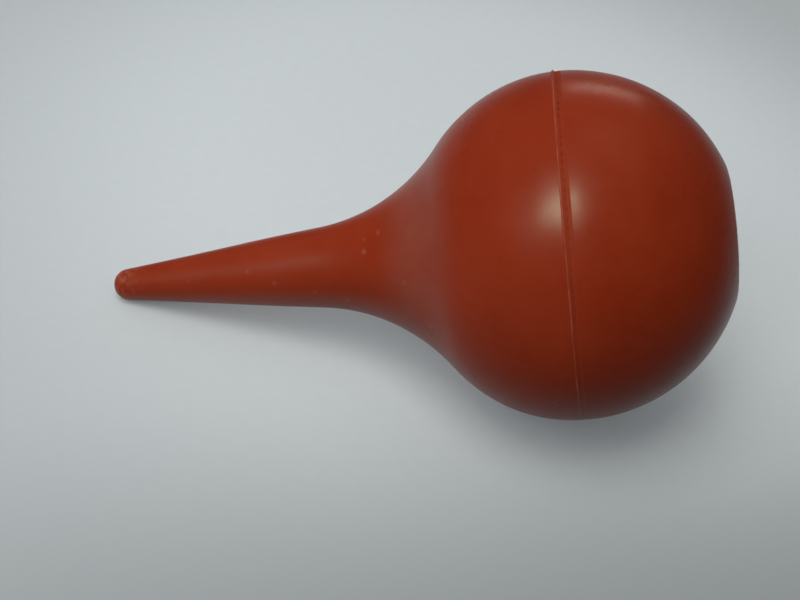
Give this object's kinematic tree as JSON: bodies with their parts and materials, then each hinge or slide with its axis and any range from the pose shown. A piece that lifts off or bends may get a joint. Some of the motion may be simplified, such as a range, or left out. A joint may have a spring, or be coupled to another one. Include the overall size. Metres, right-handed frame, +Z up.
{
  "type": "pipette filler bulb",
  "caption": "Hollow rubber ball with a flat base and a tapered nozzle; squeezing and releasing it draws liquid up into a pipette.",
  "frame": {"origin": "on the surface that the bulb lies on, below the middle of its box from the mouth to the back of the base", "axes": "+Z up, +X towards the ball and the base, -X towards the nozzle's mouth, +Y across; the bulb's own axis leans down to the mouth by 19.7 degrees in the XZ plane"},
  "size_m": [0.1104, 0.0624, 0.0616],
  "materials": {
    "bulb_rubber": "brick-red moulded natural rubber, dull satin, slightly mottled",
    "seam_rubber": "darker red joining rubber, rough, with pale dusty edges"
  },
  "bodies": {
    "bulb": {"nozzle_half": "bulb_rubber", "seam_bead": "seam_rubber"},
    "base": {"base_half": "bulb_rubber"}
  },
  "joints": [
    {"name": "squeeze", "type": "slide", "parent": "bulb", "child": "base", "axis": [-0.9414, 0, -0.3374], "range_m": [0, 0.016], "stiffness_N_per_m": 700, "deforming": ["base_half"]}
  ]
}
